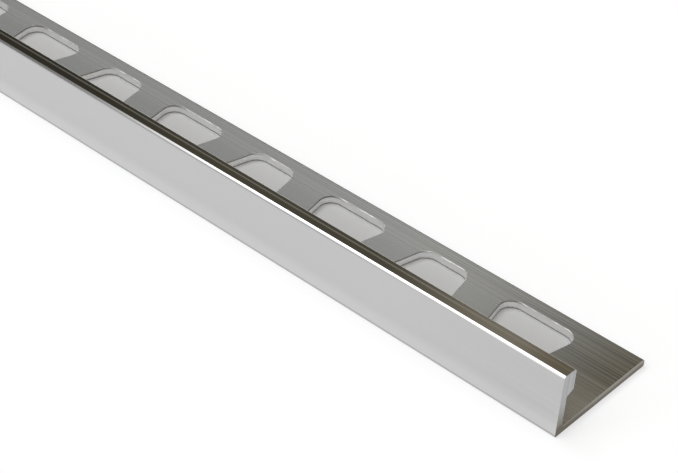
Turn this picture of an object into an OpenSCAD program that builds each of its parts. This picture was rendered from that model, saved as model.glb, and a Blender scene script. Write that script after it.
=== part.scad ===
// Tile edge trim: one length of extruded aluminium with a punched anchoring flange.
// All sizes are in millimetres. X runs along the length, Y from the finished front face
// back across the flange, and Z up from the bedded underside.

/* [Stock] */
// Length the trim is cut to
trim_length = 1000; // [250:10:2500]

/* [Section] */
// Height from the bedded underside to the finished top
trim_height = 12; // [10:0.5:16]
// Width across the flange, from the front face to the back edge
flange_width = 23.2; // [20:0.1:28]
// Thickness of the anchoring flange
flange_thickness = 1.5; // [1.2:0.1:2]
// Thickness of the upright leg
leg_thickness = 1.4; // [1.2:0.1:2]
// How far the head stands out behind the leg
head_overhang = 1.55; // [1:0.05:2]
// Height of the head's back face
head_height = 4.05; // [3:0.05:5]
// Rise of the sloping shoulder under the head
shoulder_rise = 0.6; // [0.4:0.1:1]

/* [Edges] */
// Radius of the finished edge between the front face and the top
front_edge_radius = 0.5; // [0.3:0.1:0.8]
// Radius of the head's back edge at the top
head_back_radius = 0.6; // [0.3:0.05:0.8]
// Radius of the head's back edge at the bottom
head_edge_radius = 0.2; // [0.1:0.05:0.3]
// Radius of the lower front edge, at the heel
heel_radius = 0.1; // [0.05:0.05:0.3]
// Radius along the top of the flange's back edge
flange_edge_radius = 0.7; // [0.3:0.05:0.75]
// Radius along the bottom of the flange's back edge
flange_sole_radius = 0.4; // [0.1:0.05:0.4]
// Fillet between the leg and the flange
root_radius = 0.6; // [0.3:0.1:1]
// Fillet between the leg and the shoulder
shoulder_radius = 0.4; // [0.2:0.1:0.5]

/* [Perforations] */
// Spacing of the perforations along the trim
hole_pitch = 20; // [18:0.5:30]
// Longer of a perforation's two parallel sides
hole_wide = 15; // [12:0.5:16]
// Shorter of a perforation's two parallel sides
hole_narrow = 9.5; // [8:0.5:11]
// Corner radius of a perforation
hole_corner_radius = 2.5; // [1:0.1:3]
// Solid strip between the front face and the perforations
front_strip = 7; // [5:0.5:8]
// Solid strip between the perforations and the back edge
back_strip = 3.2; // [2:0.1:4]
// Distance from the near cut end to the middle of the first perforation
first_hole = 17.5; // [12:0.5:25]

/* [Hidden] */
head_width = leg_thickness + head_overhang;
hole_depth = flange_width - front_strip - back_strip;
hole_middle = front_strip + hole_depth / 2 - flange_width / 2;
hole_count = floor((trim_length - 2 * first_hole) / hole_pitch) + 1;
// Each round is drawn this much larger than tangent, so it crosses its two sides cleanly
round_overlap = 1.002;
// How far a corner piece runs past its corner
corner_reach = 1.5;

function unit(v) = v / norm(v);
function turn(a, b) = a[0] * b[1] - a[1] * b[0];

// What lies between a corner's round and the corner itself
module corner_piece(centre, from, corner, to, radius) {
    difference() {
        polygon([for (p = [centre, from, corner, to]) centre + corner_reach * (p - centre)]);
        translate(centre) circle(round_overlap * radius, $fn = 64);
    }
}

// Outline through corners [x, y, radius], listed anticlockwise; inside corners get a fillet
module rounded_outline(corners) {
    last = len(corners) - 1;
    at = [for (c = corners) [c[0], c[1]]];
    radius = [for (c = corners) c[2]];
    back = [for (i = [0 : last]) unit(at[i == 0 ? last : i - 1] - at[i])];
    ahead = [for (i = [0 : last]) unit(at[i == last ? 0 : i + 1] - at[i])];
    half = [for (i = [0 : last]) acos(back[i] * ahead[i]) / 2];
    from = [for (i = [0 : last]) at[i] + back[i] * radius[i] / tan(half[i])];
    to = [for (i = [0 : last]) at[i] + ahead[i] * radius[i] / tan(half[i])];
    centre = [for (i = [0 : last]) at[i] + unit(back[i] + ahead[i]) * radius[i] / sin(half[i])];
    difference() {
        union() {
            polygon(at);
            for (i = [0 : last])
                if (turn(ahead[i], back[i]) < 0)
                    corner_piece(centre[i], to[i], at[i], from[i], radius[i]);
        }
        for (i = [0 : last])
            if (turn(ahead[i], back[i]) > 0)
                corner_piece(centre[i], from[i], at[i], to[i], radius[i]);
    }
}

// Section across the trim, front face at zero
module trim_section() {
    head_bottom = trim_height - head_height;
    rounded_outline([
        [0, 0, heel_radius],
        [flange_width, 0, flange_sole_radius],
        [flange_width, flange_thickness, flange_edge_radius],
        [leg_thickness, flange_thickness, root_radius],
        [leg_thickness, head_bottom - shoulder_rise, shoulder_radius],
        [head_width, head_bottom, head_edge_radius],
        [head_width, trim_height, head_back_radius],
        [0, trim_height, front_edge_radius]
    ]);
}

// One keystone perforation, its longer side to the back
module perforation() {
    linear_extrude(4 * flange_thickness, center = true)
        rounded_outline([
            [-hole_narrow / 2, -hole_depth / 2, hole_corner_radius],
            [hole_narrow / 2, -hole_depth / 2, hole_corner_radius],
            [hole_wide / 2, hole_depth / 2, hole_corner_radius],
            [-hole_wide / 2, hole_depth / 2, hole_corner_radius]
        ]);
}

// The whole trim: the section run out along X, then the row of perforations,
// every second one turned round
module edge_trim() {
    color([0.76, 0.76, 0.76])
        difference() {
            translate([-trim_length / 2, -flange_width / 2, 0])
                rotate([90, 0, 90])
                    linear_extrude(trim_length)
                        trim_section();
            for (i = [0 : hole_count - 1])
                translate([trim_length / 2 - first_hole - i * hole_pitch, hole_middle, 0])
                    rotate([0, 0, 180 * (i % 2)])
                        perforation();
        }
}

edge_trim();
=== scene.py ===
"""Looks of the tile edge trim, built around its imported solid. Sizes are in millimetres unless said."""

import math

import bmesh
import bpy
from mathutils import Matrix, Vector

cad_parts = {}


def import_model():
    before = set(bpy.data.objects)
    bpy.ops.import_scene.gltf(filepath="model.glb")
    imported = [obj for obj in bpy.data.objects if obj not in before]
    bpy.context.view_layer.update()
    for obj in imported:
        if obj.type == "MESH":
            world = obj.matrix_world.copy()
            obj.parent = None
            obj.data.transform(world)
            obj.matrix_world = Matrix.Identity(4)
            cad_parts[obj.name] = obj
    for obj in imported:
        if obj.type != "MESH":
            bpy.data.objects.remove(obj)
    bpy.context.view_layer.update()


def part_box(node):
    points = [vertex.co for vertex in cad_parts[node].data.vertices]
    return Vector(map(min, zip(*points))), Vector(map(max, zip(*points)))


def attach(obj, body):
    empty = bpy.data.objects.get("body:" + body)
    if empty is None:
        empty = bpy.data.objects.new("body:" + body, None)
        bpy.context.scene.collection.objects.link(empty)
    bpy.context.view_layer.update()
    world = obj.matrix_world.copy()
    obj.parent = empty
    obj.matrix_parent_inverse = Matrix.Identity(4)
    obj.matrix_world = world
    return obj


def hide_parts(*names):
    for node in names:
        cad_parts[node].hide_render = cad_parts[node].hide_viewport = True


MM = 0.001

HEIGHT = 12.0
HALF_LENGTH = 500.0
FLANGE_WIDTH = 23.2
FLANGE_THICKNESS = 1.5
LEG_THICKNESS = 1.4
HEAD_WIDTH = 2.95
HEAD_FOOT = 7.95
SHOULDER_DROP = 0.6
# Section across the trim: corner (from the front face, above the underside), radius and arc steps
SECTION = {
    "heel": ((0.0, 0.0), 0.1, 4),
    "flange_back_low": ((FLANGE_WIDTH, 0.0), 0.4, 8),
    "flange_back_top": ((FLANGE_WIDTH, FLANGE_THICKNESS), 0.7, 12),
    "root": ((LEG_THICKNESS, FLANGE_THICKNESS), 0.6, 8),
    "shoulder_root": ((LEG_THICKNESS, HEAD_FOOT - SHOULDER_DROP), 0.4, 6),
    "shoulder_edge": ((HEAD_WIDTH, HEAD_FOOT), 0.2, 6),
    "head_back": ((HEAD_WIDTH, HEIGHT), 0.6, 12),
    "front_edge": ((0.0, HEIGHT), 0.5, 12),
}

# Keystone perforations in the flange
HOLE_PITCH = 20.0
HOLE_WIDE = 15.0
HOLE_NARROW = 9.5
HOLE_CORNER = 2.5
HOLE_FRONT = 7.0
HOLE_BACK = 20.0
FIRST_HOLE = 17.5
CORNER_STEPS = 12
# The punch draws the upper edge of each hole down in a small round
PUNCH_ROLL = 0.12
ROLL_STEPS = 5
# The punch reaches this far past the flange, above and below
PUNCH_OVER = 1.0

# The saw leaves the cut ends with a slightly broken edge
SAW_BREAK = 0.07
# A dull line that the die draws along the top, this far behind the front face
TOP_LINE = 1.75
# Besides the front, the anodised finish covers faces up to this far back and this far below the top
ANODISED_BACK = 2.7
ANODISED_DOWN = 0.55
# Strips of the bar that are narrower than this belong to a round
ROUND_STRIP = 0.2
# Edges shorter than this are slivers that the cut left
SLIVER = 0.0001

# Colours of the anodised front and top
SATIN_DARK = (0.485, 0.485, 0.485, 1)
SATIN_PALE = (0.525, 0.525, 0.525, 1)
SATIN_EVEN = (0.53, 0.53, 0.53, 1)
# Painted light low on the front
SATIN_FOOT_LIGHT = (0.70, 0.70, 0.70, 1)
# Painted shade along the front's heel
SATIN_HEEL_SHADE = (0.33, 0.33, 0.335, 1)
# Painted dark reflection in a seam under the finished edge
SATIN_SEAM_REFLECTION = (0.30, 0.30, 0.30, 1)
# Painted highlight on the finished edge near the ends
SATIN_EDGE_HIGHLIGHT = (0.88, 0.88, 0.87, 1)
TOP_DARK = (0.57, 0.555, 0.535, 1)
TOP_PALE = (0.61, 0.595, 0.575, 1)
# Painted shade that darkens and browns the top at the ends
TOP_END_SHADE = (0.365, 0.33, 0.275, 1)
# Painted shade along the top's back round
TOP_BACK_SHADE = (0.20, 0.195, 0.175, 1)
# Colours of the flange and leg
DRAWN_DARK = (0.500, 0.515, 0.528, 1)
DRAWN_PALE = (0.548, 0.563, 0.576, 1)
# Painted shade on the flange in front by the leg
DRAWN_FRONT_SHADE = (0.506, 0.521, 0.534, 1)
# Painted shade towards the flange's back edge
DRAWN_BACK_SHADE = (0.416, 0.428, 0.437, 1)
# Painted shade along the flange's back round
DRAWN_RIM_SHADE = (0.05, 0.05, 0.048, 1)
# Painted shade that makes the flange dark and brown at the ends, browner still at the very ends
END_SHADE_DARK = (0.100, 0.096, 0.079, 1)
END_SHADE_PALE = (0.185, 0.178, 0.147, 1)
# Painted light on the flange beside the leg, at the ends
END_LIGHT_BY_LEG = (0.375, 0.353, 0.306, 1)
END_SHADE_BROWN_DARK = (0.092, 0.084, 0.060, 1)
END_SHADE_BROWN_PALE = (0.172, 0.158, 0.116, 1)
SCRATCHED = (0.34, 0.327, 0.288, 1)
# Colours of the cut ends
SAWN_DARK = (0.385, 0.39, 0.40, 1)
SAWN_PALE = (0.485, 0.49, 0.505, 1)
# Painted shade that makes the cut ends browner lower down
SAWN_LOW_SHADE = (0.42, 0.406, 0.368, 1)
# Painted shade that darkens the cut ends towards the foot
SAWN_FOOT_SHADE = (0.145, 0.13, 0.095, 1)
# Colours of the punched walls
BURNISHED = (0.90, 0.90, 0.897, 1)
# Torn along the foot, and darkened there by painted contact shade
TORN_AND_SHADE = (0.35, 0.34, 0.32, 1)
RIM_DULL = (0.62, 0.62, 0.61, 1)
# Painted shade on the far rim of each perforation
PERFORATION_RIM_SHADE = (0.12, 0.115, 0.10, 1)
# Colours of the floor: in the open, under the trim where it is painted shade, and the glow that turns the
# open part white
FLOOR_OPEN = (0.50, 0.50, 0.50, 1)
FLOOR_UNDER_SHADE = (0.55, 0.555, 0.565, 1)
FLOOR_GLOW = (0.515, 0.52, 0.535, 1)
BLACK = (0, 0, 0, 1)

# The floor lies a hair under the trim, and reaches this far all round
FLOOR_DROP = 0.03
FLOOR_REACH = 30000.0
# The painted shade under the trim fades out between these two distances inside the trim's long edges, and its
# cut ends
UNDER_SIDES = (0.8, 0.2)
UNDER_ENDS = (2.0, 0.5)

# Strengths of the studio light, where 1 is white; the room's red and blue are shares of its green
TENT_LEFT = 2.42
TENT_RIGHT = 0.305
LAMP = 4.0
ROOM_LEFT = 0.085
ROOM_RIGHT = 0.265
ROOM_RED = 1.09
ROOM_BLUE_LEFT = 0.73
ROOM_BLUE_RIGHT = 0.80

# Camera, fitted to the photograph's straight edges in its 678 x 473 frame
PHOTO_WIDTH = 678
FOCAL_PIXELS = 1719.3
SENSOR_WIDTH = 36.0
VIEW_AZIMUTH = 40.738
VIEW_ELEVATION = 37.070
VIEW_ROLL = 3.304
# The near bottom corner of the front face as the camera sees it: right, up and away
NEAR_CORNER_SEEN = (32.264, -30.047, 256.669)


class Wire:
    """An output socket; sums on it add Math nodes to its tree."""

    def __init__(self, nodes, socket):
        self.nodes = nodes
        self.socket = socket

    def math(self, operation, first, second):
        return self.nodes.add("ShaderNodeMath", {"operation": operation}, {0: first, 1: second})

    def __add__(self, other):
        return self.math("ADD", self, other)

    def __sub__(self, other):
        return self.math("SUBTRACT", self, other)

    def __rsub__(self, other):
        return self.math("SUBTRACT", other, self)

    def __mul__(self, other):
        return self.math("MULTIPLY", self, other)

    __radd__ = __add__
    __rmul__ = __mul__


class Nodes:
    """The node tree of a material or world."""

    def __init__(self, owner):
        owner.use_nodes = True
        self.tree = owner.node_tree
        self.tree.nodes.clear()

    def add(self, kind, settings=None, sockets=None, output=0):
        """A new node with its settings, and its sockets' values or links; gives one of its outputs."""
        node = self.tree.nodes.new(kind)
        for name, value in (settings or {}).items():
            setattr(node, name, value)
        for name, value in (sockets or {}).items():
            if isinstance(value, Wire):
                self.tree.links.new(value.socket, node.inputs[name])
            else:
                node.inputs[name].default_value = value
        return Wire(self, node.outputs[output]) if node.outputs else None

    def place(self):
        """Object coordinates, in metres of the trim's own frame."""
        return self.add("ShaderNodeTexCoord", output="Object")

    def axes(self, vector):
        split = self.add("ShaderNodeSeparateXYZ", {}, {0: vector})
        return [Wire(self, s) for s in split.socket.node.outputs]

    def along(self):
        """Distance along the trim from its middle."""
        return self.axes(self.place())[0] * (1 / MM)

    def behind(self):
        """Distance behind the front face."""
        return self.axes(self.place())[1] * (1 / MM) + FLANGE_WIDTH / 2

    def height(self):
        """Height above the underside."""
        return self.axes(self.place())[2] * (1 / MM)

    def ramp(self, value, low, high, out_low=0.0, out_high=1.0):
        """value from low..high to out_low..out_high, eased, and held at both ends."""
        sockets = {"Value": value, "From Min": low, "From Max": high}
        sockets["To Min"] = out_low
        sockets["To Max"] = out_high
        return self.add("ShaderNodeMapRange", {"interpolation_type": "SMOOTHSTEP"}, sockets)

    def to_ends(self, start, full, inner=0.0, outer=1.0):
        """inner along the middle, eased to outer from start to full before either end; below 0 is past it."""
        along = self.along()
        return self.ramp(along * along, (HALF_LENGTH - start) ** 2, (HALF_LENGTH - full) ** 2, inner, outer)

    def streaks(self, along, across, detail=2.0):
        """Grain about `along` long, and `across` wide in Y and Z."""
        scale = (1 / (along * MM), 1 / (across * MM), 1 / (across * MM))
        stretched = self.add("ShaderNodeMapping", {}, {"Vector": self.place(), "Scale": scale})
        sockets = {"Vector": stretched, "Scale": 1.0, "Detail": detail, "Roughness": 0.6}
        return self.add("ShaderNodeTexNoise", {}, sockets)

    def blend(self, factor, first, second):
        """A colour from first, at factor 0, to second, at 1."""
        sockets = {"Factor": factor, 6: first, 7: second}
        return self.add("ShaderNodeMix", {"data_type": "RGBA"}, sockets, output=2)

    def bump(self, height, distance):
        return self.add("ShaderNodeBump", {}, {"Height": height, "Distance": distance * MM})

    def metal(self, **sockets):
        """The material's shader, a metal unless its sockets say less."""
        named = {"Metallic": 1.0}
        for name, value in sockets.items():
            named[name.replace("_", " ").title()] = value
        shader = self.add("ShaderNodeBsdfPrincipled", {}, named)
        self.add("ShaderNodeOutputMaterial", {}, {"Surface": shader})


def satin_front(nodes, lines):
    """Front colour: lined near the ends and even between, with painted light low down, painted shade along
    the heel, a painted dark reflection under the finished edge and a painted highlight on it near the ends.
    """
    height = nodes.height()
    below = HEIGHT - height
    colour = nodes.blend(lines, SATIN_DARK, SATIN_PALE)
    even = nodes.to_ends(37, 3, 1.0, 0.0)
    colour = nodes.blend(even, colour, SATIN_EVEN)
    # Painted light: paler low down
    foot = nodes.ramp(height, 1.0, 4.0, 0.4, 0.0)
    colour = nodes.blend(foot, colour, SATIN_FOOT_LIGHT)
    # Painted shade: a dark line along the heel
    heel = nodes.ramp(height, 0.3, 0.55, 0.6, 0.0)
    colour = nodes.blend(heel, colour, SATIN_HEEL_SHADE)
    # Under the finished edge runs a thin dark seam of painted reflection, and near the ends the edge carries
    # a painted highlight
    seam_reflection = nodes.ramp(below, 0.28, 0.40) * nodes.ramp(below, 0.46, 0.58, 1.0, 0.0)
    seam_reflection = seam_reflection * nodes.to_ends(52, 25, 0.7, 0.0)
    colour = nodes.blend(seam_reflection, colour, SATIN_SEAM_REFLECTION)
    # Painted highlight on the edge near the ends
    edge_highlight = nodes.ramp(below, 0.40, 0.48, 1.0, 0.0) * nodes.to_ends(22, 7, 0.0, 0.5)
    return nodes.blend(edge_highlight, colour, SATIN_EDGE_HIGHLIGHT)


def satin_top(nodes, lines):
    """Top colour: darker and browner at the ends, and dark along the round at the back, both painted shade.
    """
    colour = nodes.blend(lines, TOP_DARK, TOP_PALE)
    # Painted shade: darker and browner at the ends
    end_shade = nodes.to_ends(11, 2, 0.0, 0.75)
    colour = nodes.blend(end_shade, colour, TOP_END_SHADE)
    # Painted shade along the round at the back
    back = nodes.ramp(nodes.behind(), 2.3, 2.6, 0.0, 0.7)
    return nodes.blend(back, colour, TOP_BACK_SHADE)


def anodised_face():
    """Front, finished edge and top: fine satin anodising, and one dull die line along the top."""
    material = bpy.data.materials.new("anodised_face")
    nodes = Nodes(material)
    lines = nodes.streaks(400, 0.45, 1.0)
    behind = nodes.behind()
    crown = nodes.ramp(behind, 0.3, 0.5)
    colour = nodes.blend(crown, satin_front(nodes, lines), satin_top(nodes, lines))
    aside = behind - TOP_LINE
    dull = nodes.ramp(aside * aside, 0.04 ** 2, 0.22 ** 2, 1.0, 0.0)
    dull = dull * nodes.to_ends(28, 10, 0.165, 0.09)
    rough = nodes.ramp(lines, 0.3, 0.7, 0.08, 0.11)
    nodes.metal(base_color=colour, roughness=rough, metallic=1 - dull, normal=nodes.bump(lines, 0.002))
    return material


def clean_flange(nodes, grain):
    """Flange colour away from the ends: even and darkened by painted shade in front by the leg, with fine
    lines towards a back darkened by painted shade.
    """
    behind = nodes.behind()
    colour = nodes.blend(grain, DRAWN_DARK, DRAWN_PALE)
    # Painted shade: darker and without lines in front by the leg
    front_shade = nodes.ramp(behind, 13.6, 21.1, 0.9, 0.0)
    colour = nodes.blend(front_shade, colour, DRAWN_FRONT_SHADE)
    # Painted shade: darker towards the back edge
    back = nodes.ramp(behind, 20.6, 23.1, 0.0, 0.4)
    return nodes.blend(back, colour, DRAWN_BACK_SHADE)


def end_shade_flange(nodes, grain):
    """Flange colour at the ends: dark and brown from painted shade, with painted light beside the leg, and a
    few pale scratches.
    """
    # Painted shade: dark and brown, browner still at the very ends
    colour = nodes.blend(grain, END_SHADE_DARK, END_SHADE_PALE)
    brown_end_shade = nodes.blend(grain, END_SHADE_BROWN_DARK, END_SHADE_BROWN_PALE)
    colour = nodes.blend(nodes.to_ends(13, 2), colour, brown_end_shade)
    # Painted light beside the leg
    light_by_leg = nodes.ramp(nodes.behind(), 3.6, 17.1, 0.85, 0.0)
    colour = nodes.blend(light_by_leg, colour, END_LIGHT_BY_LEG)
    scratch = nodes.ramp(nodes.streaks(400, 0.5, 0.0), 0.64, 0.74, 0.0, 0.6)
    return nodes.blend(scratch, colour, SCRATCHED)


def drawn_flange():
    """Flange and leg: drawn lengthwise through the die, with fine lines, and darkened at the ends by painted
    shade.
    """
    material = bpy.data.materials.new("drawn_flange")
    nodes = Nodes(material)
    fine = nodes.streaks(900, 0.32, 0.0)
    broad = nodes.streaks(700, 1.1)
    grain = nodes.ramp(fine * 0.9 + broad * 0.1, 0.28, 0.72)
    behind = nodes.behind()
    # The painted shade at the ends reaches further in along the flange's back
    end_shade = nodes.to_ends(37, -3, 0.0, 0.93)
    end_shade_at_back = nodes.to_ends(48, -15, 0.0, 1.08)
    end_shade = end_shade + (end_shade_at_back - end_shade) * nodes.ramp(behind, 15.1, 20.6)
    colour = nodes.blend(end_shade, clean_flange(nodes, grain), end_shade_flange(nodes, grain))
    # Painted shade along the back round
    rim = nodes.ramp(behind, 22.4, 22.9, 0.0, 0.6)
    colour = nodes.blend(rim, colour, DRAWN_RIM_SHADE)
    # The leg is rougher than the flange
    rough = nodes.ramp(grain, 0.0, 1.0, 0.25, 0.28) + nodes.ramp(nodes.height(), 1.6, 2.4, 0.0, 0.5)
    nodes.metal(base_color=colour, roughness=rough, metallic=0.5, normal=nodes.bump(broad, 0.002))
    return material


def sawn_end():
    """Cut ends: pale, with faint marks up the section, and painted shade that makes them browner and darker
    towards the foot.
    """
    material = bpy.data.materials.new("sawn_end")
    nodes = Nodes(material)
    behind = nodes.behind()
    height = nodes.height()
    stretched = nodes.add("ShaderNodeMapping", {}, {"Vector": nodes.place(), "Scale": (0, 2600, 150)})
    marks = nodes.add("ShaderNodeTexNoise", {}, {"Vector": stretched, "Scale": 1.0, "Detail": 2.0})
    colour = nodes.blend(nodes.ramp(marks, 0.3, 0.7), SAWN_DARK, SAWN_PALE)
    # Painted shade: browner lower down
    low = nodes.ramp(height, 1.5, 7.0, 0.85, 0.0)
    colour = nodes.blend(low, colour, SAWN_LOW_SHADE)
    # Painted shade: darker towards the foot, up the leg and by the root
    foot = nodes.ramp(height, 0.4, 1.4, 0.6, 0.0)
    leg = nodes.ramp(height, 1.5, 6.0, 0.7, 0.1) * nodes.ramp(behind, 1.2, 2.2, 1.0, 0.5)
    root = nodes.ramp(behind, 3.0, 11.0, 0.3, 0.0) * nodes.ramp(height, 1.4, 2.5, 1.0, 0.0)
    colour = nodes.blend(foot + leg + root, colour, SAWN_FOOT_SHADE)
    nodes.metal(base_color=colour, roughness=0.42, normal=nodes.bump(marks, 0.02))
    return material


def punched_wall():
    """Walls of the perforations: burnished by the punch, with tearing along the foot that painted shade
    darkens, and painted shade at the far rim.
    """
    material = bpy.data.materials.new("punched_wall")
    nodes = Nodes(material)
    height = nodes.height()
    tear = nodes.add("ShaderNodeTexNoise", {}, {"Vector": nodes.place(), "Scale": 2600.0})
    patch = nodes.add("ShaderNodeTexNoise", {}, {"Vector": nodes.place(), "Scale": 450.0})
    # Tearing along the foot, darkened by painted shade
    torn_and_shade = nodes.ramp(height + tear * 0.2, 0.2, 0.35, 1.0, 0.0)
    colour = nodes.blend(torn_and_shade, BURNISHED, TORN_AND_SHADE)
    rim = nodes.ramp(height, 1.35, 1.42) * nodes.ramp(patch, 0.4, 0.65, 1.0, 0.0)
    colour = nodes.blend(rim, colour, RIM_DULL)
    # Share of the pitch: 0.5 at the middle of each perforation, and less towards the far end
    turns = nodes.along() * (1 / HOLE_PITCH) + (0.5 - (HALF_LENGTH - FIRST_HOLE) / HOLE_PITCH)
    share = nodes.add("ShaderNodeMath", {"operation": "FRACT"}, {0: turns})
    # Painted shade on the rim at the far end of each perforation
    dark = nodes.ramp(height, 1.2, 1.3) * nodes.ramp(share, 0.2, 0.36, 0.8, 0.0)
    colour = nodes.blend(dark, colour, PERFORATION_RIM_SHADE)
    rough = nodes.ramp(torn_and_shade, 0.0, 1.0, 0.42, 0.6) + rim * 0.3
    nodes.metal(base_color=colour, roughness=rough, normal=nodes.bump(tear, 0.01))
    return material


FINISHES = [anodised_face, drawn_flange, sawn_end, punched_wall]


def finish_index(name):
    return [f.__name__ for f in FINISHES].index(name)


def corner_reach(corners, index, radius):
    """How far from a corner its round meets the two sides."""
    here = Vector(corners[index])
    back = Vector(corners[index - 1]) - here
    ahead = Vector(corners[(index + 1) % len(corners)]) - here
    return radius / math.tan(back.angle(ahead) / 2)


def rounded_face(mesh, corners, radii, steps, lift):
    """A flat face through the corners, each rounded; lift turns a corner into a place in metres."""
    points = [mesh.verts.new(lift(c)) for c in corners]
    mesh.faces.new(points)
    for i, point in enumerate(points):
        bmesh.ops.bevel(
            mesh, geom=[point], offset=corner_reach(corners, i, radii[i]) * MM, offset_type="OFFSET",
            segments=steps[i], profile=0.5, affect="VERTICES", material=-1, clamp_overlap=False)
    return list(mesh.faces)[0]


def extruded(mesh, face, move, keep=False):
    """The face drawn out by a move in metres; gives the face at the new end. keep leaves the old one."""
    grown = bmesh.ops.extrude_face_region(mesh, geom=[face])["geom"]
    fresh = [g for g in grown if isinstance(g, bmesh.types.BMVert)]
    bmesh.ops.translate(mesh, verts=fresh, vec=move)
    if not keep:
        bmesh.ops.delete(mesh, geom=[face], context="FACES_ONLY")
    return [g for g in grown if isinstance(g, bmesh.types.BMFace)][0]


def place_finishes(mesh, front):
    """Gives every face of the bar its finish, and smooth shading to the narrow strips of its rounds."""
    for face in mesh.faces:
        middle = face.calc_center_median()
        behind = (middle.y - front) / MM
        height = middle.z / MM
        narrow = min(e.calc_length() for e in face.edges) < ROUND_STRIP * MM
        face.smooth = narrow and abs(face.normal.x) < 0.1
        on_top = height > HEIGHT - ANODISED_DOWN and behind < ANODISED_BACK
        if abs(face.normal.x) > 0.3:
            face.material_index = finish_index("sawn_end")
        elif behind < 0.01 or on_top:
            face.material_index = finish_index("anodised_face")
        else:
            face.material_index = finish_index("drawn_flange")


def bar_mesh(low, high):
    """The plain bar: its section run out along X, with both cut edges broken."""
    mesh = bmesh.new()
    corners = [c for c, radius, steps in SECTION.values()]
    radii = [radius for c, radius, steps in SECTION.values()]
    steps = [steps for c, radius, steps in SECTION.values()]
    face = rounded_face(
        mesh, corners, radii, steps, lambda c: Vector((low.x, low.y + c[0] * MM, low.z + c[1] * MM)))
    extruded(mesh, face, Vector((high.x - low.x, 0, 0)), keep=True)
    bmesh.ops.recalc_face_normals(mesh, faces=mesh.faces)
    ends = [f for f in mesh.faces if abs(f.normal.x) > 0.99]
    rims = {e for f in ends for e in f.edges}
    bmesh.ops.bevel(
        mesh, geom=list(rims), offset=SAW_BREAK * MM, offset_type="OFFSET", segments=2, profile=0.5,
        affect="EDGES", material=-1, clamp_overlap=False)
    place_finishes(mesh, low.y)
    return mesh


def one_punch():
    """A punch around the origin, flared where it draws the flange's top edge down."""
    mesh = bmesh.new()
    depth = HOLE_BACK - HOLE_FRONT
    corners = [
        (-HOLE_NARROW / 2, -depth / 2), (HOLE_NARROW / 2, -depth / 2),
        (HOLE_WIDE / 2, depth / 2), (-HOLE_WIDE / 2, depth / 2)]
    face = rounded_face(
        mesh, corners, [HOLE_CORNER] * 4, [CORNER_STEPS] * 4, lambda c: Vector((c[0], c[1], 0)) * MM)
    bmesh.ops.translate(mesh, verts=mesh.verts, vec=(0, 0, -PUNCH_OVER * MM))
    straight = PUNCH_OVER + FLANGE_THICKNESS - PUNCH_ROLL
    face = extruded(mesh, face, Vector((0, 0, straight * MM)), keep=True)
    rise = 0.0
    spread = 0.0
    for step in range(1, ROLL_STEPS + 1):
        angle = math.radians(90 / ROLL_STEPS * step)
        lift = PUNCH_ROLL * math.sin(angle) - rise
        grow = PUNCH_ROLL * (1 - math.cos(angle)) - spread
        face = extruded(mesh, face, Vector((0, 0, lift * MM)))
        wide = HOLE_WIDE / 2 + spread
        deep = depth / 2 + spread
        bmesh.ops.scale(mesh, verts=face.verts, vec=(1 + grow / wide, 1 + grow / deep, 1))
        rise += lift
        spread += grow
    extruded(mesh, face, Vector((0, 0, PUNCH_OVER * MM)))
    bmesh.ops.recalc_face_normals(mesh, faces=mesh.faces)
    for side in mesh.faces:
        side.smooth = abs(side.normal.z) < 0.99
        side.material_index = finish_index("punched_wall")
    return mesh


def punch_row(low, high):
    """One punch per perforation along the flange, every second one turned round."""
    mesh = one_punch()
    one = list(mesh.verts) + list(mesh.edges) + list(mesh.faces)
    count = int((high.x - low.x) / MM - 2 * FIRST_HOLE) // int(HOLE_PITCH) + 1
    middle = low.y + (HOLE_FRONT + HOLE_BACK) / 2 * MM
    for i in range(1, count):
        copy = bmesh.ops.duplicate(mesh, geom=one)["geom"]
        points = [g for g in copy if isinstance(g, bmesh.types.BMVert)]
        if i % 2:
            bmesh.ops.rotate(mesh, verts=points, cent=(0, 0, 0), matrix=Matrix.Rotation(math.pi, 3, "Z"))
        bmesh.ops.translate(mesh, verts=points, vec=(-i * HOLE_PITCH * MM, 0, 0))
    bmesh.ops.translate(mesh, verts=mesh.verts, vec=(high.x - FIRST_HOLE * MM, middle, low.z))
    return mesh


def piece_from(mesh, name, materials):
    """An object in the scene, made from a mesh that is then freed."""
    data = bpy.data.meshes.new(name)
    mesh.to_mesh(data)
    mesh.free()
    for material in materials:
        data.materials.append(material)
    piece = bpy.data.objects.new(name, data)
    bpy.context.scene.collection.objects.link(piece)
    return piece


def crisp(data):
    """Drops the slivers that the cut left, and keeps flat faces apart from the rounds beside them."""
    mesh = bmesh.new()
    mesh.from_mesh(data)
    bmesh.ops.dissolve_degenerate(mesh, dist=SLIVER * MM, edges=mesh.edges)
    for edge in mesh.edges:
        edge.smooth = all(face.smooth for face in edge.link_faces)
    mesh.to_mesh(data)
    mesh.free()
    return data


def punched_trim(low, high):
    """The finished trim: the bar with its row of perforations punched out."""
    materials = [finish() for finish in FINISHES]
    trim = piece_from(bar_mesh(low, high), "punched_trim", materials)
    punch = piece_from(punch_row(low, high), "punch", materials)
    cut = trim.modifiers.new("perforations", "BOOLEAN")
    cut.operation = "DIFFERENCE"
    cut.solver = "EXACT"
    cut.object = punch
    whole = bpy.data.meshes.new_from_object(trim.evaluated_get(bpy.context.evaluated_depsgraph_get()))
    trim.modifiers.clear()
    trim.data = crisp(whole)
    bpy.data.objects.remove(punch)
    return trim


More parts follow.
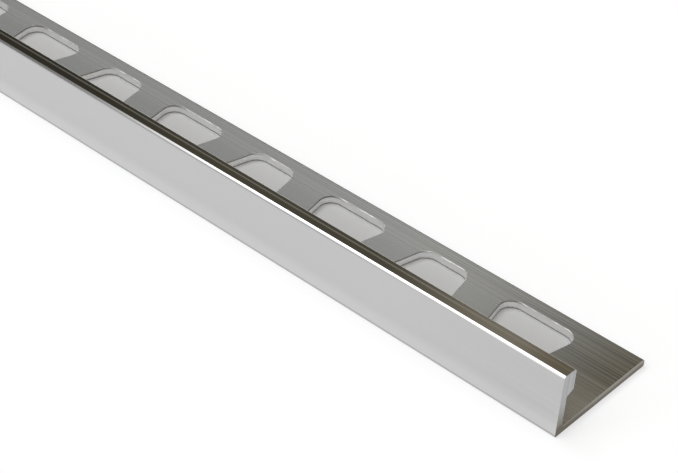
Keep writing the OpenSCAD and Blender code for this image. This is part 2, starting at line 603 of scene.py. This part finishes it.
def pale_floor():
    """A floor that looks white, keeps the trim's shadow, and has painted shade under the trim, grey where the
    perforations show it.
    """
    mesh = bmesh.new()
    bmesh.ops.create_grid(mesh, x_segments=1, y_segments=1, size=FLOOR_REACH * MM)
    bmesh.ops.translate(mesh, verts=mesh.verts, vec=(0, 0, -FLOOR_DROP * MM))
    material = bpy.data.materials.new("pale_floor")
    nodes = Nodes(material)
    half = FLANGE_WIDTH / 2
    aside = nodes.behind() - half
    start, full = UNDER_SIDES
    # Painted shade on the floor under the trim
    under = nodes.ramp(aside * aside, (half - start) ** 2, (half - full) ** 2, 1.0, 0.0)
    under = under * nodes.to_ends(*UNDER_ENDS, 1.0, 0.0)
    seen = nodes.add("ShaderNodeLightPath", output="Is Camera Ray")
    seen = seen + nodes.add("ShaderNodeLightPath", output="Is Glossy Ray")
    seen = seen + nodes.add("ShaderNodeLightPath", output="Is Transmission Ray")
    sockets = {"Roughness": 1.0, "Specular IOR Level": 0.0, "Emission Strength": 1.0}
    sockets["Base Color"] = nodes.blend(under, FLOOR_OPEN, FLOOR_UNDER_SHADE)
    sockets["Emission Color"] = nodes.blend(seen * (1 - under), BLACK, FLOOR_GLOW)
    shader = nodes.add("ShaderNodeBsdfPrincipled", {}, sockets)
    nodes.add("ShaderNodeOutputMaterial", {}, {"Surface": shader})
    piece_from(mesh, "floor", [material])


def studio_light():
    """A soft light tent in front and overhead, brighter to the left, and a dim brown room behind."""
    world = bpy.data.worlds.new("studio")
    bpy.context.scene.world = world
    nodes = Nodes(world)
    # The zones are bounded by parts of a direction that is 1 long; ahead is in front and 28 degrees up
    x, y, z = nodes.axes(nodes.add("ShaderNodeTexCoord", output="Generated"))
    ahead = z * 0.47 - y * 0.88
    # The tent's back edge slants, and its far left end fades out
    tent = nodes.ramp(ahead + x * 0.65 + 0.318, 0.02, 0.40) * nodes.ramp(z, 0.05, 0.25)
    tent = tent * nodes.ramp(x, -0.7, 0.7, TENT_LEFT, TENT_RIGHT) * nodes.ramp(x, -0.67, -0.56, 0.12, 1.0)
    # A lamp at the left of the tent
    lamp = nodes.ramp(x, -0.50, -0.38, LAMP, 0.0) * nodes.ramp(x, -0.63, -0.53) * nodes.ramp(z, 0.02, 0.15)
    lamp = lamp * nodes.ramp(ahead, 0.2, 0.34) * nodes.ramp(ahead, 0.4, 0.6, 1.0, 0.0)
    white = tent + lamp
    # The room is darkest and brownest at the left
    room = nodes.ramp(x, -0.50, -0.42, ROOM_LEFT, ROOM_RIGHT) * nodes.ramp(x, -0.67, -0.57, 0.5, 1.0)
    room = room * nodes.ramp(x, -0.41, -0.36, 1.0, 0.72)
    red = room * ROOM_RED
    blue = room * nodes.ramp(x, -0.50, -0.42, ROOM_BLUE_LEFT, ROOM_BLUE_RIGHT)
    lit = nodes.add("ShaderNodeCombineXYZ", {}, {0: white + red, 1: white + room, 2: white + blue})
    shader = nodes.add("ShaderNodeBackground", {}, {"Color": lit, "Strength": 1.0})
    nodes.add("ShaderNodeOutputWorld", {}, {"Surface": shader})


def photo_camera(low, high):
    """A camera where the photograph was taken from."""
    turn = math.radians(VIEW_AZIMUTH)
    tilt = math.radians(VIEW_ELEVATION)
    back = Vector((math.sin(turn) * math.cos(tilt), -math.cos(turn) * math.cos(tilt), math.sin(tilt)))
    level = Vector((math.cos(turn), math.sin(turn), 0))
    rise = back.cross(level)
    roll = math.radians(VIEW_ROLL)
    right = math.cos(roll) * level + math.sin(roll) * rise
    up = -math.sin(roll) * level + math.cos(roll) * rise
    seen_right, seen_up, away = NEAR_CORNER_SEEN
    corner = Vector((high.x, low.y, low.z))
    data = bpy.data.cameras.new("camera")
    data.sensor_width = SENSOR_WIDTH
    data.lens = FOCAL_PIXELS / PHOTO_WIDTH * SENSOR_WIDTH
    data.clip_start = 0.01
    camera = bpy.data.objects.new("camera", data)
    pose = Matrix((right, up, back)).transposed().to_4x4()
    pose.translation = corner + (away * back - seen_right * right - seen_up * up) * MM
    camera.matrix_world = pose
    bpy.context.scene.collection.objects.link(camera)
    bpy.context.scene.camera = camera


def main():
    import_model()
    low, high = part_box("edge_trim")
    trim = punched_trim(low, high)
    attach(trim, "root")
    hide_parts("edge_trim")
    pale_floor()
    studio_light()
    photo_camera(low, high)
    bpy.context.scene.view_settings.view_transform = "Standard"


main()
